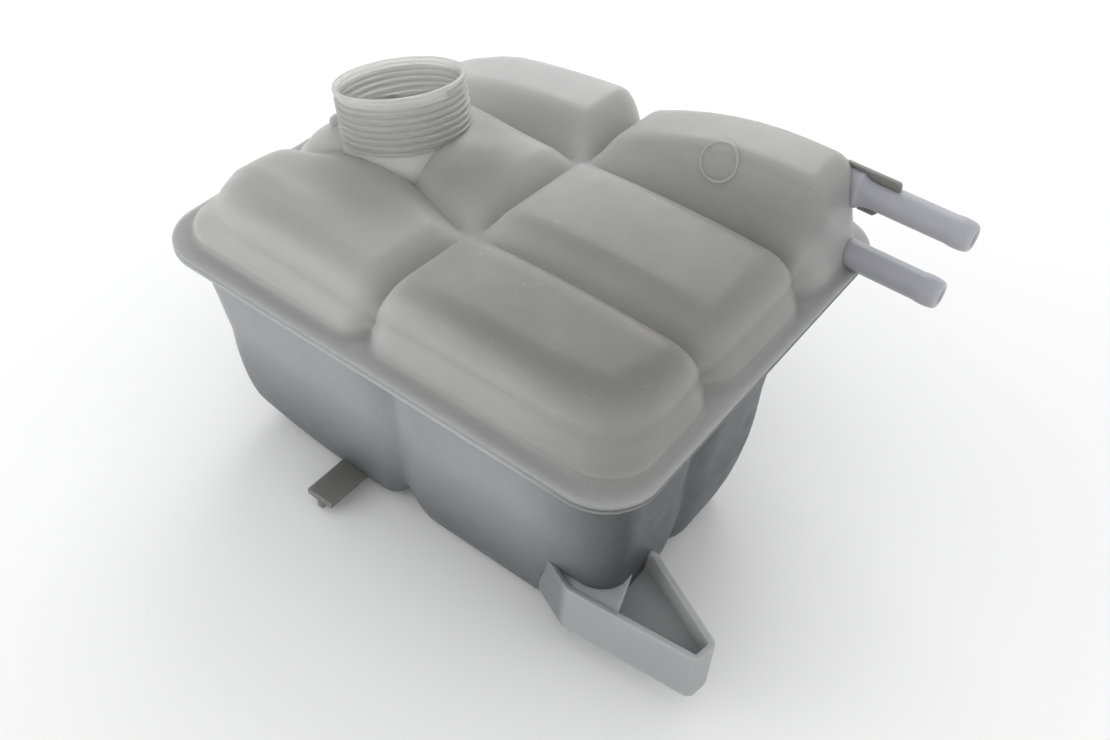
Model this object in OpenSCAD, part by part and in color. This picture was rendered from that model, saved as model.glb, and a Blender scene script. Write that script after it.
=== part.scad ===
// Coolant expansion tank: two moulded half shells, hot-plate welded at a flat flange.
// X runs along the tank towards the vent spigots, Y towards the back, Z up.
// The origin is on the flat underside, below the middle of the whole tank with its spigots.

/* [Chambers] */
// Length of the left column of chambers, outside the walls
left_col_len = 93.5; // [78:0.5:115]
// Length of the right column of chambers
right_col_len = 109.5; // [91:0.5:132]
// Width of the front row of chambers
front_row_wid = 57; // [46:1:72]
// Width of the middle row, which carries the neck
middle_row_wid = 62.5; // [58:0.5:76]
// Width of the back row of chambers
back_row_wid = 48.5; // [40:0.5:58]
// Plan radius of the body's corners, and run of its rounded shoulders
corner_r = 18; // [14:0.5:22]
// Plan radius of the body's back left corner
back_corner_r = 45; // [24:1:52]
// Half width of the rounded flanks beside the valleys between the rows
valley_run = 14; // [10:0.5:17]
// Half width of the flanks beside the upper shell's cross valley
cross_run = 10; // [8:0.5:17]
// How far that valley runs to the right towards the back
cross_skew = 9; // [0:0.5:12]
// Depth of the upright recess where a valley meets the side wall
valley_notch = 6; // [3:0.5:9]

/* [Upper shell] */
// Height of the front right crown above the weld plane
crown_h = 30; // [25:0.5:38]
// Height of the middle right crown
middle_crown_h = 28; // [23:0.5:35]
// Height of the two left crowns in front
left_crown_h = 27; // [22:0.5:33]
// Height of the back left crown
back_crown_h = 31; // [26:0.5:38]
// Height of the vent chamber's crown at its inner end
vent_crown_in_h = 23; // [19:0.5:30]
// Height of the vent chamber's crown over the vent spigots
vent_crown_out_h = 44.5; // [38:0.5:54]
// Height of the valleys above the weld plane
valley_h = 15; // [12:0.5:17]
// Share of its height that a crown loses from its middle to its ends
crown_arch = 0.1; // [0:0.01:0.15]
// Share of its height that the upper shell loses at the back left corner
left_fall = 0.6; // [0:0.05:0.65]

/* [Lower shell] */
// Depth of the lower shell under the weld plane
lower_depth = 97; // [80:1:117]
// Rise of the valleys between the lower lobes
lobe_valley = 12; // [6:0.5:18]
// How far the lower shell's cross valley lies to the right of the upper shell's
lobe_shift = 7; // [0:0.5:10]
// How far the shallow floor starts in front of the upper shell's rear valley
shelf_lead = 8; // [0:0.5:12]
// Depth of the shallow floor under the vent chamber
shelf_depth = 9; // [7:0.5:14]
// How much shallower the left end is
left_rise = 6; // [0:0.5:14]

/* [Walls and flange] */
// Wall thickness of both mouldings
wall = 2.5; // [1.8:0.1:3.2]
// Thickness of each shell's weld lip
lip_t = 2.1; // [1.5:0.1:3]
// Width of the lip beyond the end walls
lip_end_w = 5.5; // [4:0.5:9]
// Width of the lip beyond the front and back walls
lip_side_w = 8; // [6:0.5:11]
// Width of the weld bead that stands inside the wall
weld_bead = 0.5; // [0.3:0.1:1]
// Corner radius of the flange
flange_corner_r = 21; // [16:0.5:26]

/* [Neck] */
// Outer diameter of the neck over its thread crests
neck_crest_d = 50; // [42:0.5:56]
// Bore of the neck
neck_bore_d = 42; // [34:0.5:46]
// Height of the neck along its axis, from its foot in the crown to its rim
neck_len = 32; // [26:0.5:40]
// Distance of the rim's centre above the weld plane
rim_h = 49; // [43:0.5:60]
// Place of the rim's centre from the flange's left edge
rim_x = 48; // [44:0.5:56]
// Place of the rim's centre from the flange's front edge
rim_y = 87; // [80:0.5:96]
// Lean of the neck towards the left end, in degrees
neck_lean_left = 15; // [0:0.5:18]
// Lean of the neck towards the back, in degrees
neck_lean_back = 6; // [0:0.5:10]
// Thread pitch
thread_pitch = 3; // [2.5:0.1:4]
// Number of thread ridges that show
thread_turns = 7; // [3:1:7]
// Depth of the thread
thread_depth = 1.2; // [0.8:0.1:1.6]

/* [Hose spigots] */
// Outer diameter of both vent spigots
vent_d = 11.3; // [9:0.5:13]
// Bore of both vent spigots
vent_bore_d = 6.5; // [4:0.5:8]
// Reach of the upper vent spigot past the body's end wall
upper_vent_reach = 42; // [30:1:55]
// Reach of the lower vent spigot past the body's end wall
lower_vent_reach = 41; // [30:1:55]
// Height of the upper vent spigot's axis above the weld plane
upper_vent_h = 31; // [27:0.5:33]
// Distance of the upper vent spigot's axis from the body's back wall
upper_vent_inset = 11; // [9:0.5:15]
// Distance of the lower vent spigot's axis from the body's back wall
lower_vent_inset = 16.5; // [12:0.5:20]
// Outer diameter of the bottom outlet spigot
outlet_d = 21; // [17:0.5:25]
// Bore of the bottom outlet spigot
outlet_bore_d = 15.5; // [11:0.5:18]
// Reach of the bottom outlet past the body's back wall
outlet_reach = 26; // [20:1:40]
// Height of the bottom outlet's axis above the underside
outlet_h = 34; // [30:0.5:42]
// Distance of the bottom outlet's axis from the body's left end wall
outlet_inset = 44; // [36:0.5:52]

/* [Mounting foot and tab] */
// Reach of the wedge foot past the body's end wall
foot_reach = 36.5; // [30:0.5:46]
// Height of the wedge foot's side walls
foot_h = 24; // [20:0.5:29]
// Height of the foot's underside above the tank's underside
foot_rise = 13; // [8:0.5:18]
// Width of the foot at its tip
foot_tip_w = 8; // [7:0.5:13]
// Width of the foot at its root
foot_root_w = 33.5; // [28:0.5:42]
// Wall thickness of the foot
foot_wall = 2.6; // [2:0.1:3.5]
// Width of the small tab
tab_w = 13; // [10:0.5:16]
// Reach of the small tab past the front wall
tab_reach = 9; // [6:0.5:14]
// Thickness of the small tab's plate and rib
tab_t = 3; // [2:0.1:4]

/* [Hidden] */

body_len = left_col_len + right_col_len;
body_wid = front_row_wid + middle_row_wid + back_row_wid;
// Body outline, measured from the middle of the flange
x0 = -body_len / 2;
x1 = body_len / 2;
y0 = -body_wid / 2;
y1 = body_wid / 2;
col_x = x0 + left_col_len;
lobe_x = col_x + lobe_shift;
row_a = y0 + front_row_wid;
row_b = row_a + middle_row_wid;
shelf_y = row_b - shelf_lead;

// From the middle of the flange on the weld plane to the tank's own origin
tank_left = x0 - lip_end_w;
tank_right = x1 + max(upper_vent_reach, lower_vent_reach, foot_reach);
tank_front = min(y0 - lip_side_w, y0 - tab_reach);
tank_back = y1 + max(lip_side_w, outlet_reach);
to_origin = [-(tank_left + tank_right) / 2, -(tank_front + tank_back) / 2, lower_depth];

milky = [0.84, 0.85, 0.83, 0.9];
milky_low = [0.78, 0.8, 0.81, 0.9];

// Places of the grid lines beside a valley, as shares of valley_run
VALLEY_LINES = [-1, -0.65, -0.35, -0.12, 0, 0.12, 0.35, 0.65, 1];
// Places of the rings on a rounded shoulder, as shares of its run
SHOULDER_RINGS = [0.07, 0.24, 0.52, 1];
// Share of the upper shell's height that is upright wall, and of its shoulder that is draft
UPPER_WALL = 0.5;
UPPER_DRAFT = 0.25;
// How full the upper shell's shoulders are: 2 is a quarter ellipse, more is squarer
UPPER_FULL = 2.4;
// The same for the lower shell
LOWER_WALL = 0.71;
LOWER_DRAFT = 0.1;
LOWER_FULL = 2;

// How upright the lobe walls beside the shallow floor are: lower is steeper
SHELF_STEEP = 0.4;

// Rise from 0 to 1 over a rounded edge of that fullness
function shoulder(t, full) = t >= 1 ? 1 : pow(1 - pow(1 - max(t, 0), full), 1 / full);
// Flank of a valley: 1 on its crease, 0 at its edge
function crease(t) = abs(t) >= 1 ? 0 : pow(1 - abs(t), 2);

// Rings of a shell from its rim to its crown: [share of corner_r inward, share of height]
function rings(wall_steps, wall_share, draft, full) = concat(
    [for (s = [0:wall_steps]) [draft * s / wall_steps, wall_share * s / wall_steps]],
    [for (t = SHOULDER_RINGS) [draft + (1 - draft) * t, wall_share + (1 - wall_share) * shoulder(t, full)]]);

upper_rings = rings(1, UPPER_WALL, UPPER_DRAFT, UPPER_FULL);
lower_rings = rings(3, LOWER_WALL, LOWER_DRAFT, LOWER_FULL);

// Grid lines across the body: the shoulder rings, then the lines of each valley, whose flanks
// run over that width
function lines(low, high, valleys, run, m) = concat(
    [for (k = [0:m - 1]) low],
    [low + corner_r],
    [for (n = [0:len(valleys) - 1]) each concat(
        [((n == 0 ? low + corner_r : valleys[n - 1] + run) + valleys[n] - run) / 2],
        [for (v = VALLEY_LINES) valleys[n] + v * run])],
    [high - corner_r],
    [for (k = [0:m - 1]) high]);

// How far a valley's flank moves sideways on a surface that lies t inside
FLANK_SHIFT = 0.6;
function flank(d, t, run) = crease(max(0, abs(d) - FLANK_SHIFT * t) / run);
function rows_flank(y, up, t) =
    max(flank(y - row_a, t, valley_run), flank(y - (up > 0 ? row_b : shelf_y), t, valley_run));
function cross_flank(x, up, t) =
    up > 0 ? flank(x - col_x, t, cross_run) : flank(x - lobe_x, t, valley_run);

// Share along the vent chamber, from its inner end, at which its crown is highest
VENT_CREST = 0.75;
// How much the back left fall takes from the valleys, as a share of what it takes from the crowns
VALLEY_FALL = 0.55;

// Height of the upper shell at a place, before its edges round off; t is how far inside
function arched(h, u) = h * (1 - crown_arch * pow(2 * u - 1, 2));
function upper_cell(x, y) = let(
    left = x < col_x,
    u = left ? (x - x0) / left_col_len : (x - col_x) / right_col_len)
    y < row_a ? arched(left ? left_crown_h : crown_h, u)
    : y < row_b ? arched(left ? left_crown_h : middle_crown_h, u)
    : left ? back_crown_h
    : vent_crown_out_h - (vent_crown_out_h - vent_crown_in_h) * pow(1 - min(1, u / VENT_CREST), 2);
// Loss of height towards the back left corner, from 0 to left_fall
function upper_fall(x, y) = left_fall
    * pow(max(0, (col_x - x) / left_col_len), 1.5)
    * pow(max(0, (y - y0) / body_wid - 0.15) / 0.85, 0.6);
function upper_height(x, y, t) = let(
    fall = upper_fall(x, y),
    valley = valley_h * (1 - VALLEY_FALL * fall),
    crown = upper_cell(x, y) * (1 - fall))
    valley + (crown - valley) * (1 - cross_flank(x, 1, t)) * (1 - rows_flank(y, 1, t)) - t;

// Distance of a place from the shallow floor under the vent chamber. Where the deep lobes beside
// it meet the right wall and the back wall, their corners are round.
function round_corner(a, b, r) = r - norm([r - a, r - b]);
function from_shelf(x, y) = let(
    a = x1 - x, b = shelf_y - y, c = y1 - y, d = lobe_x - x, r = corner_r)
    a < r && b < r ? round_corner(a, b, r)
    : c < r && d < r ? round_corner(c, d, r)
    : norm([max(0, d), max(0, b)]);
// Depth of the lower shell at a place; t is how far inside
function lower_height(x, y, t) = let(
    left = left_rise * pow(max(0, 1 - (x - x0) / (left_col_len / 2)), 2),
    deep = lower_depth - left
        - lobe_valley * (1 - (1 - cross_flank(x, -1, t)) * (1 - rows_flank(y, -1, t))),
    rim = max(0, from_shelf(x, y) - t) / valley_run)
    shelf_depth + (deep - shelf_depth) * pow(shoulder(rim, LOWER_FULL), SHELF_STEEP) - t;

// Inward shift of a place near a wall, where a valley meets that wall. The lower shell has
// no such recess beside the shallow floor under the vent chamber.
function fade(d) = pow(max(0, 1 - d / corner_r), 2);
function notch_x(x, y, up, t) =
    valley_notch * (rows_flank(y, up, t) * fade(x - x0 - t)
        - (up > 0 ? rows_flank(y, 1, t) : flank(y - row_a, t, valley_run)) * fade(x1 - t - x));
function notch_y(x, y, up, t) =
    valley_notch * cross_flank(x, up, t)
        * (fade(y - y0 - t) - (up > 0 ? fade(y1 - t - y) : 0));

// Plan place of grid point (i, j): straight in the middle, round a corner near the ends.
// All rings of a surface t inside share the corner centres of the body's outline.
function mirror_index(i, n) = min(i, n - i);
function plan(i, j, xs, ys, rg, t) = let(
    nx = len(xs) - 1, ny = len(ys) - 1, m = len(rg) - 1,
    ki = mirror_index(i, nx), kj = mirror_index(j, ny), k = min(ki, kj),
    sx = i < nx / 2 ? -1 : 1, sy = j < ny / 2 ? -1 : 1,
    r = (corner_r - t) * (1 - rg[min(k, m)][0]),
    inset = corner_r - r,
    turn = 45 + 45 * (ki - kj) / max(1, m - k))
    (ki < m && kj < m)
    ? [(sx < 0 ? x0 + corner_r : x1 - corner_r) + sx * r * cos(turn),
       (sy < 0 ? y0 + corner_r : y1 - corner_r) + sy * r * sin(turn)]
    : [ki < m ? (sx < 0 ? x0 + inset : x1 - inset) : xs[i],
       kj < m ? (sy < 0 ? y0 + inset : y1 - inset) : ys[j]];

// Distance from a round corner's centre to the outline of a square corner whose own radius is r,
// in direction u
function corner_reach(u, side, r) = let(
    a = max(u.x, u.y), b = min(u.x, u.y), c = side - r, m = c * (u.x + u.y))
    side * b / a <= c ? side / a : m + sqrt(m * m - 2 * c * c + r * r);
// Draws a place in towards the middle where the back left corner has its larger radius
function back_corner(x, y, t) = let(
    big = back_corner_r, cx = x0 + big, cy = y1 - big, d = [cx - x, y - cy])
    d.x <= 0 || d.y <= 0 ? [x, y]
    : let(f = (big - t) / corner_reach(d / norm(d), big - t, corner_r - t)) [cx - d.x * f, cy + d.y * f];

// Skews the upper shell's cross valley; the end walls stay where they are
function skewed(x, y) = x + cross_skew * (y - y0) / body_wid
    * max(0, x < col_x ? (x - x0) / left_col_len : (x1 - x) / right_col_len);

// Height at which a shell's wall starts, inside its lip
rim_start = 0.4 * lip_t;
// Grid of points of a shell's surface that lies t inside its outside; up is 1 for the upper
// shell and -1 for the lower one
function surface_point(i, j, xs, ys, rg, up, t) = let(
    m = len(rg) - 1,
    k = min(min(mirror_index(i, len(xs) - 1), mirror_index(j, len(ys) - 1)), m),
    p = plan(i, j, xs, ys, rg, t),
    h = up > 0 ? upper_height(p.x, p.y, t) : lower_height(p.x, p.y, t),
    q = back_corner((up > 0 ? skewed(p.x, p.y) : p.x) + notch_x(p.x, p.y, up, t),
        p.y + notch_y(p.x, p.y, up, t), t))
    [q.x, q.y, up * (k == 0 ? rim_start : h * rg[k][1])];
function surface_grid(xs, ys, rg, up, t) =
    [for (i = [0:len(xs) - 1]) [for (j = [0:len(ys) - 1]) surface_point(i, j, xs, ys, rg, up, t)]];

// Grid places round the rim, in order
function rim_order(nx, ny) = concat(
    [for (i = [0:nx - 1]) [i, 0]], [for (j = [0:ny - 1]) [nx, j]],
    [for (i = [nx:-1:1]) [i, ny]], [for (j = [ny:-1:1]) [0, j]]);

// Closed solid between an outer and an inner grid that share a flat rim
module shell_solid(outer, inner, up) {
    nx = len(outer) - 1;
    ny = len(outer[0]) - 1;
    count = (nx + 1) * (ny + 1);
    points = concat([for (row = outer) each row], [for (row = inner) each row]);
    // Each cell's diagonal points at the middle of the body, so that no corner is cut off
    out = [for (i = [0:nx - 1], j = [0:ny - 1]) let(
        a = i * (ny + 1) + j, b = a + ny + 1, rising = (i < nx / 2) == (j < ny / 2))
        each rising ? [[a, a + 1, b + 1], [a, b + 1, b]] : [[a, a + 1, b], [a + 1, b + 1, b]]];
    inn = [for (f = out) [f[2] + count, f[1] + count, f[0] + count]];
    rim = rim_order(nx, ny);
    band = [for (n = [0:len(rim) - 1]) let(
        p = rim[n], q = rim[(n + 1) % len(rim)],
        a = p[0] * (ny + 1) + p[1], b = q[0] * (ny + 1) + q[1])
        each [[a, b, b + count], [a, b + count, a + count]]];
    faces = concat(out, inn, band);
    polyhedron(points, up > 0 ? faces : [for (f = faces) [f[2], f[1], f[0]]]);
}

upper_xs = lines(x0, x1, [col_x], cross_run, len(upper_rings) - 1);
upper_ys = lines(y0, y1, [row_a, row_b], valley_run, len(upper_rings) - 1);
lower_xs = lines(x0, x1, [lobe_x], valley_run, len(lower_rings) - 1);
lower_ys = lines(y0, y1, [row_a, shelf_y], valley_run, len(lower_rings) - 1);
function upper_grid(t) = surface_grid(upper_xs, upper_ys, upper_rings, 1, t);
function lower_grid(t) = surface_grid(lower_xs, lower_ys, lower_rings, -1, t);

// Weld lip: a flat frame from the flange's edge to the weld bead, whose inner edge is the
// rim of the grid given
module lip(bead, up) {
    order = rim_order(len(bead) - 1, len(bead[0]) - 1);
    translate([0, 0, up > 0 ? 0 : -lip_t])
        linear_extrude(lip_t)
            difference() {
                flange_outline();
                polygon([for (p = order) let(v = bead[p[0]][p[1]]) [v.x, v.y]]);
            }
}

// The flange's outline: its back left corner follows the body's larger one
module flange_outline() {
    half = [x1 + lip_end_w, y1 + lip_side_w];
    big = back_corner_r + (lip_end_w + lip_side_w) / 2;
    hull()
        for (sx = [-1, 1], sy = [-1, 1])
            let(r = sx < 0 && sy > 0 ? big : flange_corner_r)
                translate([sx * (half.x - r), sy * (half.y - r)])
                    circle(r, $fn = 96);
}

// Frame of the neck: Z along its axis, origin at the rim's centre
module at_neck() {
    translate([x0 - lip_end_w + rim_x, y0 - lip_side_w + rim_y, rim_h])
        rotate([-neck_lean_back, -neck_lean_left, 0])
            children();
}

neck_root_r = neck_crest_d / 2 - thread_depth;
// Plain length from the rim to the first ridge
THREAD_START = 1.6;
// A ridge's flank, as a share of the pitch
THREAD_FLANK = 0.3;
// How far the plain collar under the thread stands out, and the height of its chamfer
COLLAR_OUT = 0.8;
COLLAR_CHAMFER = 1.2;
// Depth that the neck's bore reaches into the chamber, below the tube
NECK_BORE_EXTRA = 13;
// Radius of the stop lug, its place round the neck and the share of the neck's length it takes
LUG_R = 4;
LUG_BACK = 6;
LUG_SHARE = 0.55;

// Neck tube with its thread drawn as ridges, and the plain collar under them
module neck() {
    collar_top = THREAD_START + thread_turns * thread_pitch;
    flank_h = thread_pitch * THREAD_FLANK;
    collar_r = neck_crest_d / 2 + COLLAR_OUT;
    profile = concat(
        [[0, 0], [neck_root_r, 0]],
        [for (n = [0:thread_turns - 1]) let(z = -THREAD_START - n * thread_pitch)
            each [[neck_root_r, z], [neck_crest_d / 2, z - flank_h],
                  [neck_crest_d / 2, z - 1.6 * flank_h], [neck_root_r, z - 2.6 * flank_h]]],
        [[neck_root_r, -collar_top], [collar_r, -collar_top - COLLAR_CHAMFER],
         [collar_r, -neck_len], [0, -neck_len]]);
    at_neck()
        rotate_extrude($fn = 96)
            polygon(profile);
}

// Small rounded lug on the neck's left side, which stops the cap
module neck_lug() {
    at_neck()
        translate([-neck_crest_d / 2 - 1, LUG_BACK, -neck_len])
            cylinder(h = neck_len * LUG_SHARE, r = LUG_R, $fn = 32);
}

// How far a spigot's root boss and its bead stand out
BOSS_OUT = 0.3;
BEAD_OUT = 0.45;
// Depth and length of the chamfer at a spigot's tip
TIP_CHAMFER = 1.2;
TIP_LEN = 5;
// Lengths from a spigot's tip to the front, the back and the foot of its bead
BEAD_AT = [TIP_LEN, TIP_LEN + 2, TIP_LEN + 4];

// Hose spigot along +X: a root boss, a tube, a slight bead if it has one and a chamfered tip
module spigot(d, reach, root, boss, beaded) {
    r = d / 2;
    bead = beaded
        ? [[r, reach - BEAD_AT[2]], [r + BEAD_OUT, reach - BEAD_AT[1]], [r + BEAD_OUT, reach - BEAD_AT[0]]]
        : [[r, reach - TIP_LEN]];
    rotate([0, 90, 0])
        rotate_extrude($fn = 48)
            polygon(concat([[0, -root], [r + BOSS_OUT, -root], [r + BOSS_OUT, boss], [r, boss]],
                bead, [[r - TIP_CHAMFER, reach], [0, reach]]));
}

// Place of a vent spigot's root on the end wall
upper_vent_at = [x1, y1 - upper_vent_inset, upper_vent_h];
// The lower vent just clears the weld plane
lower_vent_at = [x1, y1 - lower_vent_inset, vent_d / 2 + BOSS_OUT];
// Depth that the upper vent's root reaches back through the sloping end wall
VENT_ROOT = 15;
// Thickness of the upright webs along the upper vent's root
WEB_T = 2;
// How far the webs stand above and below the tube
WEB_ABOVE = 3.5;
WEB_BELOW = 3;
// Reach of the upper web past the end wall, and of the lower one
WEB_REACH = 13;
LOW_WEB_REACH = 7;

module vents_outer() {
    translate(upper_vent_at)
        spigot(vent_d, upper_vent_reach, VENT_ROOT, WEB_REACH, true);
    translate(lower_vent_at)
        spigot(vent_d, lower_vent_reach, VENT_ROOT / 2, LOW_WEB_REACH, false);
}

module vents_bore() {
    for (at = [upper_vent_at, lower_vent_at])
        translate(at - [VENT_ROOT + 1, 0, 0])
            rotate([0, 90, 0])
                cylinder(h = VENT_ROOT + upper_vent_reach + 2, d = vent_bore_d, $fn = 48);
}

// Upright web along the upper vent's root, above and below the tube
module vent_gussets() {
    above = vent_d / 2 + WEB_ABOVE;
    below = -vent_d / 2 - WEB_BELOW;
    back = -VENT_ROOT * 0.8;
    translate(upper_vent_at + [0, WEB_T / 2, 0])
        rotate([90, 0, 0])
            linear_extrude(WEB_T)
                polygon([[back, 0], [back, above], [WEB_REACH / 2, above], [WEB_REACH, above - WEB_ABOVE],
                    [WEB_REACH, 0], [LOW_WEB_REACH, below], [-2 * WEB_T, below], [-2 * WEB_T, 0]]);
}

module upper_shell() {
    color(milky)
        translate(to_origin)
            difference() {
                union() {
                    shell_solid(upper_grid(0), upper_grid(wall), 1);
                    lip(upper_grid(wall + weld_bead), 1);
                    neck();
                    neck_lug();
                    vents_outer();
                    vent_gussets();
                }
                at_neck()
                    translate([0, 0, -neck_len - NECK_BORE_EXTRA])
                        cylinder(h = neck_len + NECK_BORE_EXTRA + 1, d = neck_bore_d, $fn = 96);
                vents_bore();
            }
}

// How far the foot's front wall swings back towards its tip
FOOT_SWING = 8;
// How far the foot's walls reach back under the body
FOOT_BACK = 34;
// The foot's front wall starts this far back from the end wall
FOOT_FRONT_START = 16.7;
// The front wall's place, back from the body's front wall
FOOT_SET = 0.5;

// Plan outline of the wedge foot, grown outward by g
module foot_outline(g) {
    offset(delta = g)
        polygon([[-FOOT_BACK, FOOT_SWING], [-FOOT_FRONT_START, 0],
            [foot_reach - 1.5, FOOT_SWING], [foot_reach, FOOT_SWING + foot_tip_w],
            [0, foot_root_w], [-FOOT_BACK, foot_root_w]]);
}

// Hollow wedge foot, open at the top, at the front right corner
module foot() {
    translate([x1, y0 + FOOT_SET, -lower_depth + foot_rise])
        difference() {
            linear_extrude(foot_h)
                foot_outline(0);
            translate([0, 0, foot_wall])
                linear_extrude(foot_h)
                    foot_outline(-foot_wall);
        }
}

// Height of the tab's plate above the underside, and the depth that the tab reaches under the body
TAB_RISE = 5.5;
TAB_ROOT = 14;
// The tab's place along the left column of chambers, as a share of its length
TAB_AT = 0.78;

// Small tab with a rib under it, low on the front wall
module tab() {
    translate([x0 + left_col_len * TAB_AT, y0 - tab_reach, -lower_depth + TAB_RISE]) {
        translate([-tab_w / 2, 0, 0])
            cube([tab_w, tab_reach + TAB_ROOT, tab_t]);
        translate([-tab_t / 2, 0, 0.5 - TAB_RISE])
            cube([tab_t, tab_reach + TAB_ROOT, TAB_RISE]);
    }
}

// Depth that the outlet's tube reaches into the wall, its bore past that, and its root boss's length
OUTLET_ROOT = 6;
OUTLET_BOSS = 5;
OUTLET_BORE_EXTRA = 4;
outlet_at = [x0 + outlet_inset, y1, -lower_depth + outlet_h];

// Bottom outlet along +Y on the back wall
module outlet_outer() {
    translate(outlet_at)
        rotate([0, 0, 90])
            spigot(outlet_d, outlet_reach, OUTLET_ROOT, OUTLET_BOSS, true);
}

module outlet_bore() {
    translate(outlet_at - [0, OUTLET_ROOT + OUTLET_BORE_EXTRA, 0])
        rotate([-90, 0, 0])
            cylinder(h = OUTLET_ROOT + OUTLET_BORE_EXTRA + outlet_reach + 1, d = outlet_bore_d, $fn = 64);
}

module lower_shell() {
    color(milky_low)
        translate(to_origin)
            difference() {
                union() {
                    shell_solid(lower_grid(0), lower_grid(wall), -1);
                    lip(lower_grid(wall + weld_bead), -1);
                    foot();
                    tab();
                    outlet_outer();
                }
                outlet_bore();
            }
}

upper_shell();
lower_shell();
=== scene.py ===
"""Looks of the coolant expansion tank: two welded polypropylene mouldings on a pale studio floor."""

import math

import bmesh
import bpy
from mathutils import Matrix, Vector
from mathutils.bvhtree import BVHTree


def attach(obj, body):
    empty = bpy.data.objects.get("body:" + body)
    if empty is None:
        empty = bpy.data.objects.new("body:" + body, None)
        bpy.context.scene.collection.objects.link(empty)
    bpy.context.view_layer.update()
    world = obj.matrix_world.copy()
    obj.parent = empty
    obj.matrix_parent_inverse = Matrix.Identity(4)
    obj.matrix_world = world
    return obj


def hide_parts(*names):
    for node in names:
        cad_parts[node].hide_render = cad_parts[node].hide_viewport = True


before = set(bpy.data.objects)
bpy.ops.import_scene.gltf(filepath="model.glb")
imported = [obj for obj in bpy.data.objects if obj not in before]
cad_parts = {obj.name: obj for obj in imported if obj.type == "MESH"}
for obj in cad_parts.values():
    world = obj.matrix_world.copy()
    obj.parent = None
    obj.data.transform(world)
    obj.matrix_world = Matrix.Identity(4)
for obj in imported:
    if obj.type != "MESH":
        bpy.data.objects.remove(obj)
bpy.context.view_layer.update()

MM = 0.001

# Sizes of the tank in millimetres, as in the part's source. They are measured from the middle of
# the flange on the weld plane, which lies at FLANGE_AT in the part's own frame.
FLANGE_AT = Vector((-18.25, -8.5, 97.0))
LEFT_COL, RIGHT_COL = 93.5, 109.5
FRONT_ROW, MIDDLE_ROW, BACK_ROW = 57.0, 62.5, 48.5
CORNER_R, BACK_CORNER_R, VALLEY_RUN, CROSS_RUN, CROSS_SKEW, NOTCH = 18.0, 45.0, 14.0, 10.0, 9.0, 6.0
CROWN, MIDDLE_CROWN, LEFT_CROWN, BACK_CROWN = 30.0, 28.0, 27.0, 31.0
VENT_IN, VENT_OUT, VALLEY = 23.0, 44.5, 15.0
CROWN_ARCH, LEFT_FALL, VALLEY_FALL, VENT_CREST = 0.1, 0.6, 0.55, 0.75
DEPTH, LOBE_VALLEY, LOBE_SHIFT, SHELF, LEFT_RISE, SHELF_LEAD = 97.0, 12.0, 7.0, 9.0, 11.0, 8.0
WALL, LIP_T, LIP_END, LIP_SIDE, FLANGE_R = 2.5, 2.1, 5.5, 8.0, 21.0
NECK_CREST_R, NECK_BORE_R, NECK_LEN = 25.0, 21.0, 32.0
RIM_AT = Vector((-59.0, -5.0, 49.0))
LEAN_LEFT, LEAN_BACK = math.radians(15.0), math.radians(6.0)
# The neck's thread, and the height of the plain rim above it
PITCH, TURNS, THREAD_DEPTH, RIM_H = 2.6, 7, 1.1, 1.7
# The dome rises to the neck in a fillet: how far out it starts and how high it rises at the neck
NECK_BLEND, NECK_RISE = 22.0, 10.0
# Radius of the dome's hole under the neck, whose edge lies hidden in the neck's wall
NECK_HOLE_R = 23.6

X1 = (LEFT_COL + RIGHT_COL) / 2
X0 = -X1
Y1 = (FRONT_ROW + MIDDLE_ROW + BACK_ROW) / 2
Y0 = -Y1
COL_X = X0 + LEFT_COL
LOBE_X = COL_X + LOBE_SHIFT
ROW_A = Y0 + FRONT_ROW
ROW_B = ROW_A + MIDDLE_ROW
SHELF_Y = ROW_B - SHELF_LEAD

# Places of the grid lines beside a valley, as shares of its run, and between the valleys
VALLEY_LINES = [-1, -0.82, -0.64, -0.48, -0.33, -0.2, -0.1, 0, 0.1, 0.2, 0.33, 0.48, 0.64, 0.82, 1]
MIDDLE_LINES = 7
# How much further in the lower moulding's left end lies at the bottom
LEFT_DRAFT = 5.0
# How much further out its right end lies there
RIGHT_SWELL = 4.0
# Radius that the corners reach at the crowns
CREST_CORNER_R = 40.0
# How far a valley's crease is rounded, as a share of its run
CREASE_ROUND = 0.09
# Places of the rings over a shoulder, as shares of its run
SHOULDER_RINGS = [0.03, 0.09, 0.18, 0.29, 0.42, 0.57, 0.73, 0.87, 1]
# Radius of the fillet where a wall meets its lip
LIP_FILLET = 3.6
# How far apart a moulding's two skins stand while their edges are bridged
APART = 300.0


def shoulder(t, full=2.0):
    """Rise from 0 to 1 over a rounded edge: full 2 is a quarter ellipse, more is squarer."""
    return 1 if t >= 1 else (1 - (1 - max(t, 0)) ** full) ** (1 / full)


def flank(d, t, run=VALLEY_RUN):
    """Flank of a valley: 1 at its rounded bottom, 0 at its edge."""
    share = max(0, abs(d) - 0.6 * t) / run
    soft = (math.hypot(share, CREASE_ROUND) - CREASE_ROUND) / (math.hypot(1, CREASE_ROUND) - CREASE_ROUND)
    return 0 if soft >= 1 else (1 - soft) ** 2


def rows_flank(y, up, t):
    return max(flank(y - ROW_A, t), flank(y - (ROW_B if up else SHELF_Y), t))


def cross_flank(x, up, t):
    return flank(x - COL_X, t, CROSS_RUN) if up else flank(x - LOBE_X, t)


NECK_FRAME = (Matrix.Translation(RIM_AT) @ Matrix.Rotation(-LEAN_LEFT, 4, "Y")
              @ Matrix.Rotation(-LEAN_BACK, 4, "X"))
NECK_IN = NECK_FRAME.inverted()


def neck_radius(co):
    """Distance from the neck's axis."""
    local = NECK_IN @ co
    return math.hypot(local.x, local.y)


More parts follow.
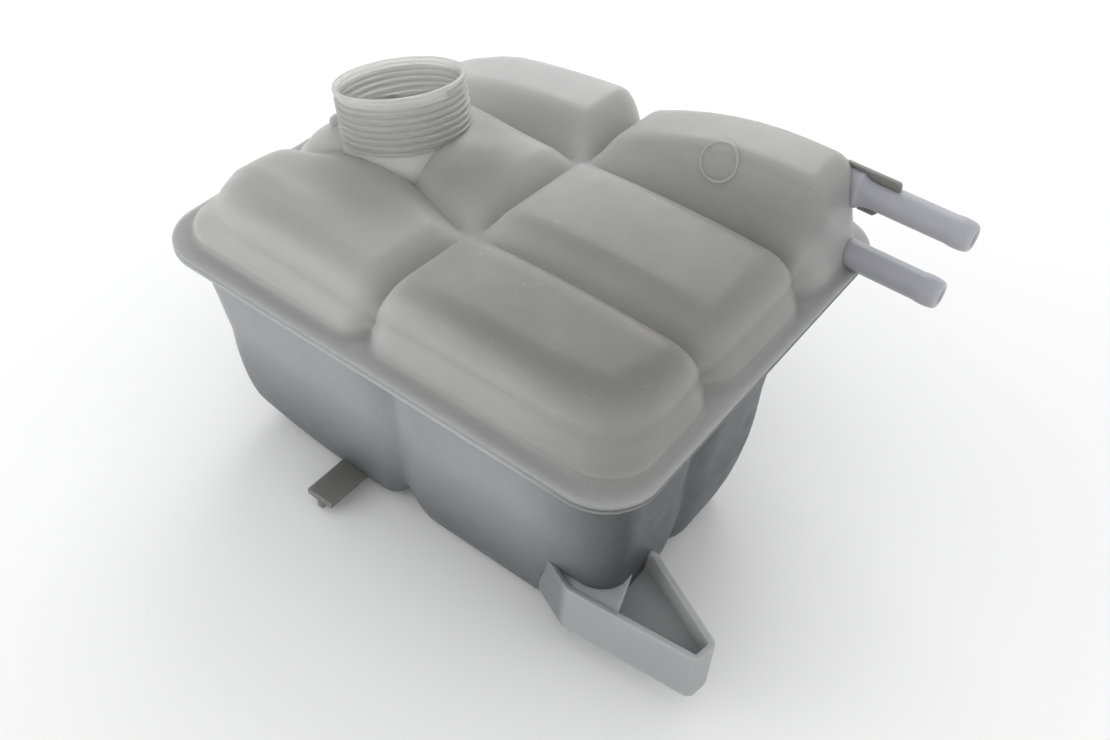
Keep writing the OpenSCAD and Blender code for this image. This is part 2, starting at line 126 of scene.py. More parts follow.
def upper_height(x, y, t):
    """Height of the upper moulding's skin that lies t inside, before its shoulders round off."""
    left = x < COL_X
    u = (x - X0) / LEFT_COL if left else (x - COL_X) / RIGHT_COL
    arch = 1 - CROWN_ARCH * (2 * u - 1) ** 2
    if y < ROW_B:
        cell = arch * (LEFT_CROWN if left else CROWN if y < ROW_A else MIDDLE_CROWN)
    else:
        cell = BACK_CROWN if left else VENT_OUT - (VENT_OUT - VENT_IN) * (1 - min(1, u / VENT_CREST)) ** 2
    backward = max(0, (y - Y0) / (Y1 - Y0) - 0.15) / 0.85
    fall = LEFT_FALL * max(0, (COL_X - x) / LEFT_COL) ** 1.5 * backward ** 0.6
    valley = VALLEY * (1 - VALLEY_FALL * fall)
    z = valley + (cell * (1 - fall) - valley) * (1 - cross_flank(x, 1, t)) * (1 - rows_flank(y, 1, t)) - t
    near = 1 - (neck_radius(Vector((x, y, z))) - NECK_CREST_R) / NECK_BLEND
    return z + NECK_RISE * min(1, max(0, near)) ** 2.4


def round_corner(a, b):
    return CORNER_R - math.hypot(CORNER_R - a, CORNER_R - b)


def from_shelf(x, y):
    a, b, c, d = X1 - x, SHELF_Y - y, Y1 - y, LOBE_X - x
    if a < CORNER_R and b < CORNER_R:
        return round_corner(a, b)
    if c < CORNER_R and d < CORNER_R:
        return round_corner(c, d)
    return math.hypot(max(0, d), max(0, b))


def lower_height(x, y, t):
    """Depth of the lower moulding's skin that lies t inside, before its shoulders round off."""
    left = LEFT_RISE * max(0, 1 - (x - X0) / (LEFT_COL * 0.7)) ** 1.6
    deep = DEPTH - left - LOBE_VALLEY * (1 - (1 - cross_flank(x, 0, t)) * (1 - rows_flank(y, 0, t)))
    rim = max(0, from_shelf(x, y) - t) / VALLEY_RUN
    return SHELF + (deep - SHELF) * shoulder(rim) ** 0.4 - t


def fade(d):
    return max(0, 1 - d / CORNER_R) ** 2


def notch(x, y, up, t):
    """Sideways shift of a place near a wall, where a valley meets that wall."""
    right_rows = rows_flank(y, 1, t) if up else flank(y - ROW_A, t)
    return (NOTCH * (rows_flank(y, up, t) * fade(x - X0 - t) - right_rows * fade(X1 - t - x)),
            NOTCH * cross_flank(x, up, t) * (fade(y - Y0 - t) - (fade(Y1 - t - y) if up else 0)))


def skewed(x, y):
    """Skews the upper moulding's cross valley; the end walls stay where they are."""
    return x + CROSS_SKEW * (y - Y0) / (Y1 - Y0) * max(
        0, (x - X0) / LEFT_COL if x < COL_X else (X1 - x) / RIGHT_COL)


def drawn_corner(x, y, half_x, half_y, r, sx, sy, big):
    """Draws a place in where a rectangle's corner towards (sx, sy) has radius big in place of r."""
    cx, cy = half_x - big, half_y - big
    dx, dy = sx * x - cx, sy * y - cy
    if dx <= 0 or dy <= 0:
        return x, y
    far = math.hypot(dx, dy)
    ux, uy = dx / far, dy / far
    c = big - r
    m = c * (ux + uy)
    straight = big * min(ux, uy) / max(ux, uy) <= c
    reach = big / max(ux, uy) if straight else m + math.sqrt(max(0, m * m - 2 * c * c + r * r))
    return sx * (cx + dx * big / reach), sy * (cy + dy * big / reach)


def wall_corners(x, y, t, share):
    """The back left corner has its own radius at every height, the front ones grow rounder to the crown."""
    half_x, half_y, r = X1 - t, Y1 - t, CORNER_R - t
    x, y = drawn_corner(x, y, half_x, half_y, r, -1, 1, BACK_CORNER_R - t)
    big = r + (CREST_CORNER_R - CORNER_R) * share
    for sx in (1, -1):
        x, y = drawn_corner(x, y, half_x, half_y, r, sx, -1, big)
    return x, y


# The lip's outer edge from the weld plane to the lip's face: inset and height
LIP_PROFILE = [(0.45, 0), (0.12, 0.14), (0, 0.45), (0, LIP_T - 0.8), (0.23, LIP_T - 0.23), (0.8, LIP_T)]


def rings(wall_steps, draft, full):
    """Rings from the rim to the crown: inset share, place in the lip's profile or None, then how far
    up the foot's fillet, the wall and the shoulder each one lies, from 0 to 1."""
    lip = [(0, n, 0, 0, 0) for n in range(len(LIP_PROFILE))]
    foot = [(0, None, s, 0, 0) for s in (0, 0.08, 0.22, 0.45, 0.72, 1)]
    wall = [(draft * s / wall_steps, None, 1, s / wall_steps, 0) for s in range(1, wall_steps + 1)]
    top = [(draft + (1 - draft) * t, None, 1, 1, shoulder(t, full)) for t in SHOULDER_RINGS]
    return lip + foot + wall + top


def grid_lines(low, high, valleys, m, run=VALLEY_RUN):
    """Places of the grid lines across the body, with m rings at each end."""
    out = [low] * m + [low + CORNER_R]
    start = low + CORNER_R
    for v in valleys:
        end = v - run
        out += [start + (end - start) * n / MIDDLE_LINES for n in range(1, MIDDLE_LINES)]
        out += [v + s * run for s in VALLEY_LINES]
        start = v + run
    end = high - CORNER_R
    out += [start + (end - start) * n / MIDDLE_LINES for n in range(1, MIDDLE_LINES + 1)]
    return out + [high] * m


def on_ring(xs, ys, i, j, m, half_x, half_y, r, inset):
    """Place and outward direction of a grid point on a ring, inset from a rounded rectangle's edge."""
    nx, ny = len(xs) - 1, len(ys) - 1
    ki, kj = min(i, nx - i), min(j, ny - j)
    sx, sy = (-1 if i < nx / 2 else 1), (-1 if j < ny / 2 else 1)
    if ki < m and kj < m:
        turn = math.radians(45 + 45 * (ki - kj) / max(1, m - min(ki, kj)))
        out = (sx * math.cos(turn), sy * math.sin(turn))
        return sx * (half_x - r) + (r - inset) * out[0], sy * (half_y - r) + (r - inset) * out[1], out
    return (sx * (half_x - inset) if ki < m else xs[i], sy * (half_y - inset) if kj < m else ys[j],
            (sx if ki < m else 0, sy if kj < m else 0))


def skin(bm, xs, ys, ring_list, wall_share, up, t):
    """One skin of a moulding: a grid that takes the tank's form, t inside its outside."""
    nx, ny, m = len(xs) - 1, len(ys) - 1, len(ring_list) - 1
    made = bmesh.ops.create_grid(bm, x_segments=nx, y_segments=ny, size=1)["verts"]
    height = upper_height if up else lower_height
    for v in made:
        i, j = round((v.co.x + 1) / 2 * nx), round((v.co.y + 1) / 2 * ny)
        inset, lip, foot, wall, top = ring_list[min(i, nx - i, j, ny - j, m)]
        if lip is not None and t == 0:
            edge, z = LIP_PROFILE[lip]
            half_x, half_y, r = X1 + LIP_END, Y1 + LIP_SIDE, FLANGE_R
            x, y, _ = on_ring(xs, ys, i, j, m, half_x, half_y, r, edge)
            x, y = drawn_corner(x, y, half_x - edge, half_y - edge, r - edge, -1, 1,
                                BACK_CORNER_R + (LIP_END + LIP_SIDE) / 2 - edge)
        else:
            x, y, out = on_ring(xs, ys, i, j, m, X1 - t, Y1 - t, CORNER_R - t, (CORNER_R - t) * inset)
            full = height(x, y, t)
            foot_h = min(LIP_T + LIP_FILLET, 0.8 * wall_share * full)
            z = (LIP_T + (foot_h - LIP_T) * foot + (wall_share * full - foot_h) * wall
                 + (1 - wall_share) * full * top)
            if lip is not None:
                z = LIP_T * lip / len(LIP_PROFILE)
            dx, dy = notch(x, y, up, t)
            if up:
                dx += skewed(x, y) - x
            else:
                dx += LEFT_DRAFT * z / DEPTH * max(0, 1 - (x - X0) / LEFT_COL) ** 2
                dx += RIGHT_SWELL * min(1, z / (0.6 * DEPTH)) * max(0, 1 - (X1 - x) / RIGHT_COL) ** 2
            q = (1 - foot) if t == 0 else 0
            flare = LIP_FILLET * (1 - math.sqrt(max(0, 1 - q * q)))
            x, y = wall_corners(x + dx, y + dy, t, wall_share * wall + (1 - wall_share) * top if up else 0)
            x, y = x + out[0] * flare, y + out[1] * flare
        v.co = Vector((x, y, z if up else -z))
    return made


def open_edges(bm):
    """The edges that only one face meets."""
    return [e for e in bm.edges if len(e.link_faces) == 1]


def cut_neck_hole(bm, verts, r):
    """Opens a skin under the neck and draws the hole's edge to radius r about the neck's axis."""
    faces = {f for v in verts for f in v.link_faces
             if neck_radius(f.calc_center_median()) < r and f.calc_center_median().z > LIP_T}
    bmesh.ops.delete(bm, geom=list(faces), context="FACES")
    edge = {v for e in open_edges(bm) for v in e.verts if abs(v.co.z) > LIP_T and neck_radius(v.co) < r + 6}
    for v in edge:
        local = NECK_IN @ v.co
        far = math.hypot(local.x, local.y)
        v.co = NECK_FRAME @ Vector((local.x * r / far, local.y * r / far, local.z))


def shell(bm, xs, ys, ring_list, wall_share, up):
    """A moulding's closed shell: an outer and an inner skin, joined at the rim."""
    for t in (0, WALL):
        made = skin(bm, xs, ys, ring_list, wall_share, up, t)
        if up:
            cut_neck_hole(bm, [v for v in made if v.is_valid], NECK_HOLE_R)
    edges = open_edges(bm)
    at_neck = [e for e in edges if all(v.co.z > LIP_T for v in e.verts)] if up else []
    at_rim = [e for e in edges if e not in set(at_neck)]
    # The inner skin stands apart while the loops are bridged, because loops that share a centre are twisted
    inner = [v for v in made if v.is_valid]
    bmesh.ops.translate(bm, verts=inner, vec=(0, 0, -APART))
    for loop in (at_neck, at_rim):
        if loop:
            bmesh.ops.bridge_loops(bm, edges=loop)
    bmesh.ops.translate(bm, verts=inner, vec=(0, 0, APART))
    bmesh.ops.recalc_face_normals(bm, faces=bm.faces[:])


def spun(bm, profile, steps, place, closed_ring=False):
    """Turns a profile of (radius, height) round Z and puts the result in place."""
    verts = [bm.verts.new((r, 0, z)) for r, z in profile]
    pairs = list(zip(verts, verts[1:])) + ([(verts[-1], verts[0])] if closed_ring else [])
    edges = [bm.edges.new(p) for p in pairs]
    before = set(bm.verts) - set(verts)
    bmesh.ops.spin(bm, geom=verts + edges, cent=(0, 0, 0), axis=(0, 0, 1), angle=2 * math.pi,
                   steps=steps, use_merge=True)
    made = [v for v in bm.verts if v not in before]
    bmesh.ops.remove_doubles(bm, verts=made, dist=0.0005)
    made = [v for v in bm.verts if v not in before]
    faces = list({f for v in made for f in v.link_faces})
    bmesh.ops.recalc_face_normals(bm, faces=faces)
    bmesh.ops.transform(bm, matrix=place, verts=made)
    return made


def thread(bm, place, radius, out, top, pitch, turns, per_turn=72):
    """A helical ridge on a cylinder: its section is wound down round the axis, closed at both ends."""
    half = 0.36 * pitch
    section = [(radius - 0.4, half), (radius, half), (radius + 0.72 * out, 0.42 * half),
               (radius + out, 0.14 * half), (radius + out, -0.14 * half),
               (radius + 0.72 * out, -0.42 * half), (radius, -half), (radius - 0.4, -half)]
    before = set(bm.verts)
    verts = [bm.verts.new((r, 0, top + z)) for r, z in section]
    start = bm.faces.new(verts)
    steps = int(per_turn * turns)
    bmesh.ops.spin(bm, geom=[start] + list(start.edges) + verts, cent=(0, 0, 0), axis=(0, 0, 1),
                   dvec=(0, 0, -pitch / per_turn), angle=2 * math.pi * turns, steps=steps)
    made = [v for v in bm.verts if v not in before]
    loose = [e for e in open_edges(bm) if e.verts[0] not in before and e.verts[1] not in before]
    if loose:
        bmesh.ops.holes_fill(bm, edges=loose, sides=16)
    # The ridge runs out into the cylinder over about a fifth of a turn at both ends
    for v in made:
        r = math.hypot(v.co.x, v.co.y)
        lead = (top - v.co.z) / pitch
        run = min(1, max(0, (lead + 0.3) * 5), max(0, (turns - lead + 0.3) * 5))
        if r > radius and run < 1:
            f = (radius - 0.1 + (r - radius) * run) / r
            v.co.x, v.co.y = v.co.x * f, v.co.y * f
    bmesh.ops.recalc_face_normals(bm, faces=list({f for v in made if v.is_valid for f in v.link_faces}))
    bmesh.ops.transform(bm, matrix=place, verts=[v for v in made if v.is_valid])


def block(bm, outline, low, high, edge, place):
    """An outline drawn up from low to high, with its edges rounded by edge."""
    before = set(bm.verts)
    verts = [bm.verts.new((x, y, low)) for x, y in outline]
    face = bm.faces.new(verts)
    grown = bmesh.ops.extrude_face_region(bm, geom=[face])["geom"]
    bmesh.ops.translate(bm, verts=[g for g in grown if isinstance(g, bmesh.types.BMVert)],
                        vec=(0, 0, high - low))
    made = [v for v in bm.verts if v not in before]
    faces = list({f for v in made for f in v.link_faces})
    bmesh.ops.recalc_face_normals(bm, faces=faces)
    edges = list({e for v in made for e in v.link_edges})
    bmesh.ops.bevel(bm, geom=edges, offset=edge, offset_type="OFFSET", affect="EDGES", segments=3,
                    profile=0.5, material=-1, clamp_overlap=True)
    made = [v for v in bm.verts if v not in before]
    bmesh.ops.transform(bm, matrix=place, verts=made)


def spigot_profile(r, reach, root, bore, flare):
    """Section of a hose spigot: a tube that flares into its wall, with a slight bead and a rounded tip."""
    return [(bore, -root), (r + flare, -root), (r + flare, -4), (r + 0.45 * flare, -2.6),
            (r + 0.15 * flare, -0.8), (r, 1.5), (r, reach - 9), (r + 0.22, reach - 7.5),
            (r + 0.3, reach - 6), (r + 0.22, reach - 3.6), (r - 0.1, reach - 1.6), (r - 0.6, reach - 0.6),
            (r - 1.3, reach - 0.1), (r - 1.7, reach), (bore + 0.35, reach), (bore, reach - 0.35)]


def along_x(at):
    """A place whose own Z runs along the tank's X."""
    return Matrix.Translation(Vector(at)) @ Matrix.Rotation(math.pi / 2, 4, "Y")


def neck_parts(bm):
    """The filler neck with its thin rim, helical thread, foot and the rings seen inside."""
    crest, root = NECK_CREST_R, NECK_CREST_R - THREAD_DEPTH
    thread_end = -(RIM_H + TURNS * PITCH + 0.8)
    bottom = -NECK_LEN - 4
    outer = [(crest - 0.7, 0), (crest - 0.15, -0.15), (crest, -0.6), (crest, -RIM_H + 0.5),
             (crest - 0.4, -RIM_H), (root, -RIM_H - 0.3), (root, thread_end), (root + 0.5, thread_end - 0.5),
             (crest, thread_end - 1.6), (crest, bottom), (NECK_BORE_R, bottom)]
    # The thread shows inside as shallow rings; below them the bore closes in to its full thickness
    inner = [(NECK_BORE_R, -21.5)]
    for ring in range(8):
        z = -19 + 2.2 * ring
        inner += [(root - 1.3, z), (root - 0.9, z + 0.8), (root - 1.3, z + 1.6)]
    mouth = [(root - 1.2, -1.3), (root - 0.5, -0.4), (root - 0.2, 0)]
    spun(bm, outer + inner + mouth, 144, NECK_FRAME, closed_ring=True)
    thread(bm, NECK_FRAME, root, THREAD_DEPTH, -RIM_H - 0.55 * PITCH, PITCH, TURNS)


def lug_parts(bm):
    """The stop lug, a rounded column beside the neck's thread."""
    lug = [(0, -NECK_LEN), (4.2, -NECK_LEN), (4.2, -18), (3.9, -16.9), (3, -16.1), (1.8, -15.7),
           (0, -15.6)]
    spun(bm, lug, 32, NECK_FRAME @ Matrix.Translation((-NECK_CREST_R - 2.2, -8.5, 0)))


UPPER_VENT = (X1, Y1 - 11, 31)
LOWER_VENT = (X1, Y1 - 16.5, 5.95)
UPPER_REACH, LOWER_REACH = 40.5, 37.5
VENT_R, VENT_BORE = 5.65, 3.25


def vent_parts(bm):
    """Both vent spigots. The upper one flares into its dome, the lower one stands almost square."""
    for at, reach, root, flare in ((UPPER_VENT, UPPER_REACH, 20, 2.0), (LOWER_VENT, LOWER_REACH, 10, 0.3)):
        spun(bm, spigot_profile(VENT_R, reach, root, VENT_BORE, flare), 48, along_x(at), closed_ring=True)


def web_parts(bm):
    """The flat webs above and below the upper vent spigot's root."""
    upright = (Matrix.Translation(Vector(UPPER_VENT) + Vector((0, 1, 0)))
               @ Matrix.Rotation(math.pi / 2, 4, "X"))
    above, below = VENT_R + 3.5, -VENT_R - 3
    block(bm, [(-12, 3), (10, 3), (10, above - 1), (9, above), (-12, above)], 0, 2, 0.4, upright)
    block(bm, [(-4, below), (2.5, below), (4, below + 1.5), (4, -3), (-4, -3)], 0, 2, 0.4, upright)


FOOT_PLACE = Matrix.Translation((X1, Y0 + 0.5, -DEPTH + 13))


def foot_parts(bm):
    """The wedge foot, a shallow pocket open at the top, with rounded corners."""
    high, floor, reach = 24.0, 14.0, 36.5
    outline = [(-34, 8), (-16.7, 0), (reach - 1.5, 4.5), (reach, 15), (0, 33.5), (-34, 33.5)]
    before = set(bm.verts)
    face = bm.faces.new([bm.verts.new((x, y, 0)) for x, y in outline])
    grown = bmesh.ops.extrude_face_region(bm, geom=[face])["geom"]
    bmesh.ops.translate(bm, verts=[g for g in grown if isinstance(g, bmesh.types.BMVert)], vec=(0, 0, high))
    made = [v for v in bm.verts if v not in before]
    faces = list({f for v in made for f in v.link_faces})
    bmesh.ops.recalc_face_normals(bm, faces=faces)
    upright = [e for v in made for e in v.link_edges
               if abs(e.verts[0].co.z - e.verts[1].co.z) > 1 and e.verts[0].co.x > 30]
    bmesh.ops.bevel(bm, geom=list(set(upright)), offset=2.6, offset_type="OFFSET", affect="EDGES",
                    segments=6, profile=0.5, material=-1)
    top = max((f for f in bm.faces if f.verts[0] not in before and f.normal.z > 0.9),
              key=lambda f: f.calc_center_median().z)
    bmesh.ops.inset_region(bm, faces=[top], thickness=2.6, depth=0)
    pocket = bmesh.ops.extrude_face_region(bm, geom=[top])["geom"]
    bmesh.ops.translate(bm, verts=[g for g in pocket if isinstance(g, bmesh.types.BMVert)],
                        vec=(0, 0, floor - high))
    if top.is_valid:
        bmesh.ops.delete(bm, geom=[top], context="FACES_ONLY")
    made = [v for v in bm.verts if v not in before]
    faces = list({f for v in made for f in v.link_faces})
    bmesh.ops.recalc_face_normals(bm, faces=faces)
    sharp = [e for e in {e for v in made for e in v.link_edges}
             if len(e.link_faces) == 2 and e.calc_face_angle() > math.radians(50)]
    bmesh.ops.bevel(bm, geom=sharp, offset=0.55, offset_type="OFFSET", affect="EDGES", segments=3,
                    profile=0.5, material=-1, clamp_overlap=True)
    made = [v for v in bm.verts if v not in before]
    bmesh.ops.transform(bm, matrix=FOOT_PLACE, verts=made)
    # The flat top that closes the foot beside the body
    block(bm, [(-33, 9), (-17, 1.2), (3, 2.6), (-4, 24), (-33, 24)], 20.8, 23.4, 0.3, FOOT_PLACE)


def mould_ring(bm, crown, x, y, r):
    """A faint raised ring that the mould leaves on a crown, laid on the crown's own curve."""
    at, normal = crown.ray_cast(Vector((x, y, 200)), Vector((0, 0, -1)))[:2]
    normal = normal if normal.z > 0 else -normal
    place = Matrix.Translation(at) @ normal.to_track_quat("Z", "Y").to_matrix().to_4x4()
    section = [(r + 0.7 * math.cos(a), 0.13 * math.sin(a)) for a in (math.tau * n / 10 for n in range(10))]
    for v in spun(bm, section, 64, place, closed_ring=True):
        height = (v.co - at).dot(normal)
        hit = crown.ray_cast(v.co + 20 * normal, -normal)[0]
        v.co = hit + height * normal


def tab_parts(bm):
    """The ribbed tab under the left end."""
    at = Matrix.Translation((X0 + LEFT_COL * 0.78, Y0 - 9, -DEPTH + 5.5))
    block(bm, [(-6.5, 0), (6.5, 0), (6.5, 23), (-6.5, 23)], 0, 3, 0.5, at)
    block(bm, [(-1.5, 0), (1.5, 0), (1.5, 23), (-1.5, 23)], -4, 0.5, 0.5, at)


def outlet_parts(bm):
    """The bottom outlet on the back wall."""
    outlet = Matrix.Translation((X0 + 44, Y1, -DEPTH + 34)) @ Matrix.Rotation(-math.pi / 2, 4, "X")
    spun(bm, spigot_profile(10.5, 26, 10, 7.75, 2.5), 64, outlet, closed_ring=True)


def finished(name, bm, material, angle=40):
    """Makes the piece's object, in metres in the part's own frame, shaded smooth up to angle."""
    bmesh.ops.transform(bm, matrix=Matrix.Scale(MM, 4) @ Matrix.Translation(FLANGE_AT), verts=bm.verts[:])
    mesh = bpy.data.meshes.new(name)
    bm.to_mesh(mesh)
    bm.free()
    for p in mesh.polygons:
        p.use_smooth = True
    mesh.set_sharp_from_angle(angle=math.radians(angle))
    piece = bpy.data.objects.new(name, mesh)
    bpy.context.scene.collection.objects.link(piece)
    mesh.materials.append(material)
    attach(piece, "root")
    return piece


def fitting(name, parts, material):
    """Makes one of the pieces that stand on a moulding."""
    bm = bmesh.new()
    parts(bm)
    finished(name, bm, material, 35)


def linear(hex_colour):
    """An sRGB hex colour as linear RGBA."""
    parts = [int(hex_colour[n:n + 2], 16) / 255 for n in (1, 3, 5)]
    return [p / 12.92 if p <= 0.04045 else ((p + 0.055) / 1.055) ** 2.4 for p in parts] + [1]


def add(tree, kind, inputs=None, **settings):
    """Adds a node; inputs gives each socket a value or the socket that feeds it."""
    node = tree.nodes.new(kind)
    for key, value in settings.items():
        setattr(node, key, value)
    for key, value in (inputs or {}).items():
        if isinstance(value, bpy.types.NodeSocket):
            tree.links.new(value, node.inputs[key])
        else:
            node.inputs[key].default_value = value
    return node


def mixed(tree, share, first, second):
    """Mixes two colours: share 0 gives the first, 1 the second."""
    return add(tree, "ShaderNodeMix", {0: share, 6: first, 7: second}, data_type="RGBA").outputs[2]


def paint_light_along(tree, place, axis, start, end, tint, colour, amount):
    """Paints light or shade: carries a tint over to colour, as far as amount, from start to end (mm) along
    an axis.
    """
    along = add(tree, "ShaderNodeSeparateXYZ", {"Vector": place}).outputs[axis]
    share = add(tree, "ShaderNodeMapRange", {
        "Value": along, "From Min": start * MM, "From Max": end * MM, "To Max": amount},
        interpolation_type="SMOOTHSTEP").outputs["Result"]
    return mixed(tree, share, tint, linear(colour))


def natural_polypropylene(name, light, dark, scatter, rough, clear=0.0, painted_light_tones=()):
    """Natural polypropylene, injection moulded: milky, light goes a few millimetres in and spreads,
    with a soft satin skin, slow cloudy flow marks and a fine texture from the tool. clear is the share
    of the light that comes straight through the wall. Each tone given is painted light or shade: a slow
    gradient over the moulding, lighter or darker along an axis as the light falls on it."""
    material = bpy.data.materials.new(name)
    material.use_nodes = True
    tree = material.node_tree
    tree.nodes.clear()
    place = add(tree, "ShaderNodeTexCoord").outputs["Object"]
    # Flow marks: clouds about 35 mm across
    clouds = add(tree, "ShaderNodeTexNoise", {"Vector": place, "Scale": 1 / (35 * MM), "Detail": 3,
                                              "Roughness": 0.5, "Distortion": 0.6})
    tint = mixed(tree, clouds.outputs["Fac"], linear(dark), linear(light))
    # Painted light and shade: slow gradients of tone laid over the cloudy tint
    for tone in painted_light_tones:
        tint = paint_light_along(tree, place, *tone[:3], tint, *tone[3:])
    # Scuffs in the satin: patches about 9 mm across
    patches = add(tree, "ShaderNodeTexNoise", {"Vector": place, "Scale": 1 / (9 * MM), "Detail": 5,
                                               "Roughness": 0.6})
    satin = add(tree, "ShaderNodeMapRange", {
        "Value": patches.outputs["Fac"], "From Min": 0.3, "From Max": 0.7,
        "To Min": rough - 0.06, "To Max": rough + 0.07})
    # Rubbed spots, whiter than the skin round them: specks and short streaks of a few millimetres
    rubs = add(tree, "ShaderNodeTexNoise", {"Vector": place, "Scale": 1 / (4 * MM), "Detail": 7,
                                            "Roughness": 0.65, "Distortion": 1.2})
    rubbed = add(tree, "ShaderNodeMapRange", {
        "Value": rubs.outputs["Fac"], "From Min": 0.64, "From Max": 0.74, "To Max": 0.2}).outputs["Result"]
    tint = mixed(tree, rubbed, tint, linear("#D8D8D8"))
    # Tool texture: grain of 0.9 mm, drawn coarser than the real 0.2 mm so that it shows
    grain = add(tree, "ShaderNodeTexNoise", {"Vector": place, "Scale": 1 / (0.9 * MM), "Detail": 2})
    waves = add(tree, "ShaderNodeTexNoise", {"Vector": place, "Scale": 1 / (22 * MM), "Detail": 1})
    fine = add(tree, "ShaderNodeBump", {"Height": grain.outputs["Fac"], "Strength": 0.05,
                                        "Distance": 0.1 * MM})
    bump = add(tree, "ShaderNodeBump", {"Height": waves.outputs["Fac"], "Strength": 0.25,
                                        "Distance": 0.8 * MM, "Normal": fine.outputs["Normal"]})
    shader = add(tree, "ShaderNodeBsdfPrincipled", {
        "Base Color": tint, "Roughness": satin.outputs["Result"], "IOR": 1.49,
        "Subsurface Weight": 0.75, "Subsurface Radius": (1.0, 0.98, 0.95),
        "Subsurface Scale": scatter * MM, "Transmission Weight": clear, "Normal": bump.outputs["Normal"]})
    add(tree, "ShaderNodeOutputMaterial", {"Surface": shader.outputs["BSDF"]})
    return material


def matte(name, colour, rough):
    """Painted studio board: pale, even and matte."""
    material = bpy.data.materials.new(name)
    material.use_nodes = True
    tree = material.node_tree
    tree.nodes.clear()
    shader = add(tree, "ShaderNodeBsdfPrincipled", {"Base Color": linear(colour), "Roughness": rough})
    add(tree, "ShaderNodeOutputMaterial", {"Surface": shader.outputs["BSDF"]})
    return material


# Each tone is painted light or shade: its axis, where it starts and ends along that axis in mm, its colour
# and its full share
# Painted light and shade on the upper moulding: darker toward the crown tops and lighter down in the
# valleys, darker toward the right, lighter toward the back and the left, greyer over the flange lip.
crown_plastic = natural_polypropylene("natural_polypropylene_upper", "#AAAAA8", "#A0A09E", 14, 0.42, painted_light_tones=[
    ("Z", 114, 128, "#6E6E6B", 0.9), ("X", 30, 80, "#646462", 0.38), ("Y", -20, 70, "#BEBEBE", 0.5),
    ("X", 25, -45, "#C4C4C4", 0.27), ("Z", 102, 99.4, "#949494", 0.8)])
# Painted light: the neck is near white, as if lit from behind through its thin wall, and painted shade greys
# its lower part toward its foot.
neck_plastic_painted_light = natural_polypropylene("natural_polypropylene_neck_painted_light", "#FAFAF9", "#F2F2F0", 14, 0.38, 0.6, [
    ("Z", 128, 117, "#ACACAA", 0.9)])
spigot_plastic = natural_polypropylene("natural_polypropylene_spigots", "#A8A8AF", "#9A9AA1", 8, 0.38)
# Painted shade on the lower moulding: darker toward the bottom and toward the right end.
lower_plastic = natural_polypropylene("natural_polypropylene_lower", "#9B9DA0", "#8F9194", 14, 0.45, painted_light_tones=[
    ("Z", 66, 6, "#545557", 1.0), ("X", 35, 84, "#3E3F41", 0.9)])
# Painted shade: the foot is greyer where it stands beside the body, and the bottom outlet, which shares this
# plastic, is greyer all over.
foot_plastic = natural_polypropylene("natural_polypropylene_foot", "#A3A4A4", "#97989A", 8, 0.45, painted_light_tones=[
    ("X", 68, 62, "#707172", 0.9)])
ring_plastic = natural_polypropylene("natural_polypropylene_ring", "#A4A4A2", "#9C9C9A", 1.5, 0.42)
# Painted shade: the tab and the vent webs take this darker copy of the plastic, as they stand in shade.
painted_shade_plastic = natural_polypropylene("natural_polypropylene_painted_shade", "#747472", "#686866", 6, 0.45)

# The lower moulding tapers more than the upper one. Its wall and its shoulder share its depth equally,
# as the upper one's share its height.
upper_rings, lower_rings = rings(3, 0.25, 2.1), rings(5, 0.34, 2)
WALL_SHARE = 0.5

bm = bmesh.new()
shell(bm, grid_lines(X0, X1, [COL_X], len(upper_rings) - 1, CROSS_RUN),
      grid_lines(Y0, Y1, [ROW_A, ROW_B], len(upper_rings) - 1), upper_rings, WALL_SHARE, True)
crown_form = BVHTree.FromBMesh(bm)
crowns = finished("upper_moulding", bm, crown_plastic)
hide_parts("upper_shell")

fitting("filler_neck", neck_parts, neck_plastic_painted_light)
fitting("stop_lug", lug_parts, ring_plastic)
fitting("vent_spigots", vent_parts, spigot_plastic)

bm = bmesh.new()
mould_ring(bm, crown_form, 52, 44, 7.5)
finished("mould_ring", bm, ring_plastic)

# The webs take the darker plastic: painted shade.
fitting("vent_webs", web_parts, painted_shade_plastic)

bm = bmesh.new()
shell(bm, grid_lines(X0, X1, [LOBE_X], len(lower_rings) - 1),
      grid_lines(Y0, Y1, [ROW_A, SHELF_Y], len(lower_rings) - 1), lower_rings, WALL_SHARE, False)
lobes = finished("lower_moulding", bm, lower_plastic)
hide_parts("lower_shell")

fitting("foot", foot_parts, foot_plastic)
fitting("tab", tab_parts, painted_shade_plastic)
fitting("bottom_outlet", outlet_parts, foot_plastic)

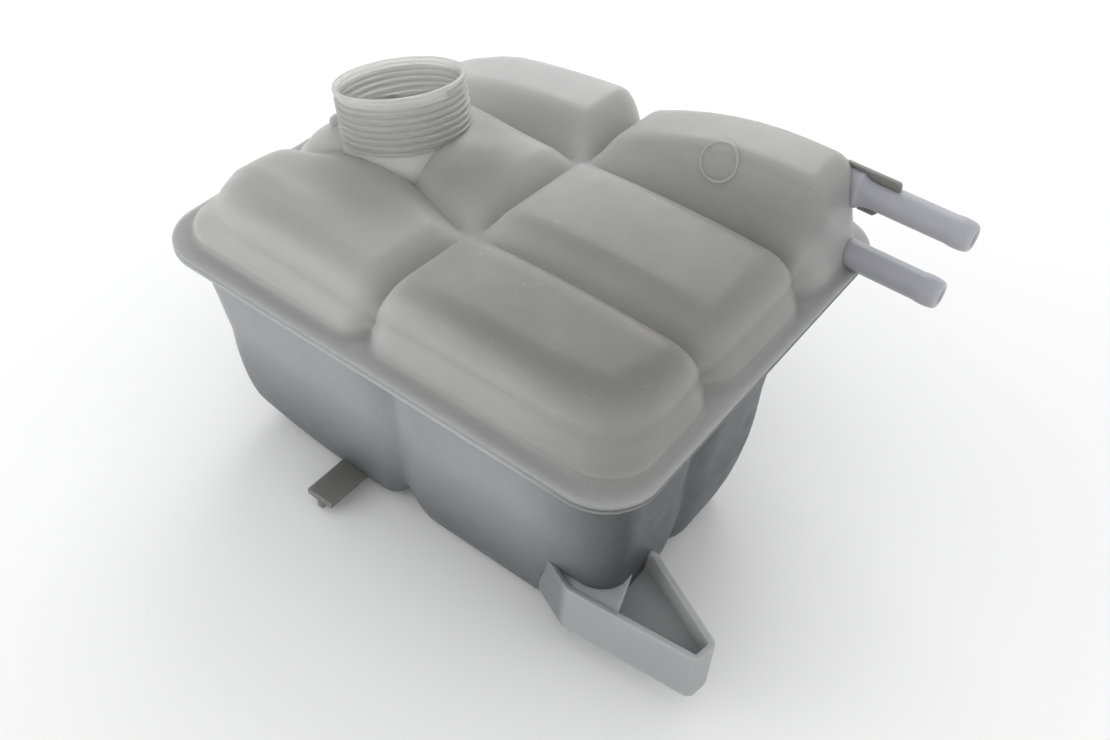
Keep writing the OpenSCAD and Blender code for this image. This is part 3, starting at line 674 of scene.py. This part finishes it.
# Floor
bm = bmesh.new()
bmesh.ops.create_grid(bm, x_segments=1, y_segments=1, size=6)
mesh = bpy.data.meshes.new("floor")
bm.to_mesh(mesh)
bm.free()
floor = bpy.data.objects.new("floor", mesh)
floor.location.z = -0.0002
bpy.context.scene.collection.objects.link(floor)
mesh.materials.append(matte("studio_board", "#F2F2F2", 0.8))

# Camera, fitted to the photograph: its axes, then its focal length and width in the photograph's pixels
RIGHT = Vector((0.79977, 0.597631, 0.056614))
UP = Vector((-0.456329, 0.543969, 0.704174))
BACK = Vector((0.39004, -0.589012, 0.707767))
FOCAL, PHOTO_W, SENSOR = 1250, 1110, 36
camera_data = bpy.data.cameras.new("camera")
camera_data.sensor_width = SENSOR
camera_data.lens = SENSOR * FOCAL / PHOTO_W
camera_data.shift_x = (555 - 562.9) / PHOTO_W
camera_data.shift_y = (364 - 370) / PHOTO_W
camera_data.clip_start, camera_data.clip_end = 0.01, 50
camera = bpy.data.objects.new("camera", camera_data)
camera.matrix_world = Matrix((
    (RIGHT.x, UP.x, BACK.x, 0.199785), (RIGHT.y, UP.y, BACK.y, -0.306930),
    (RIGHT.z, UP.z, BACK.z, 0.401667), (0, 0, 0, 1)))
bpy.context.scene.collection.objects.link(camera)
bpy.context.scene.camera = camera

# Light: a white room, a wide soft light over the back and a weaker one at the front left
world = bpy.data.worlds.new("studio")
bpy.context.scene.world = world
world.use_nodes = True
world.node_tree.nodes["Background"].inputs["Color"].default_value = linear("#FFFFFF")
world.node_tree.nodes["Background"].inputs["Strength"].default_value = 0.93


def area_light(name, at, target, size, watts):
    """A round softbox, in metres, turned to its target."""
    data = bpy.data.lights.new(name, "AREA")
    data.shape, data.size, data.energy = "DISK", size, watts
    light = bpy.data.objects.new(name, data)
    light.matrix_world = (Matrix.Translation(Vector(at))
                          @ (Vector(at) - Vector(target)).to_track_quat("Z", "Y").to_matrix().to_4x4())
    bpy.context.scene.collection.objects.link(light)


area_light("back_key", (-0.45, 0.85, 0.75), (0, 0, 0.08), 0.9, 4.5)
area_light("front_fill", (-0.9, -1.1, 0.5), (0, 0, 0.06), 1.0, 4)

bpy.context.scene.view_settings.view_transform = "Standard"
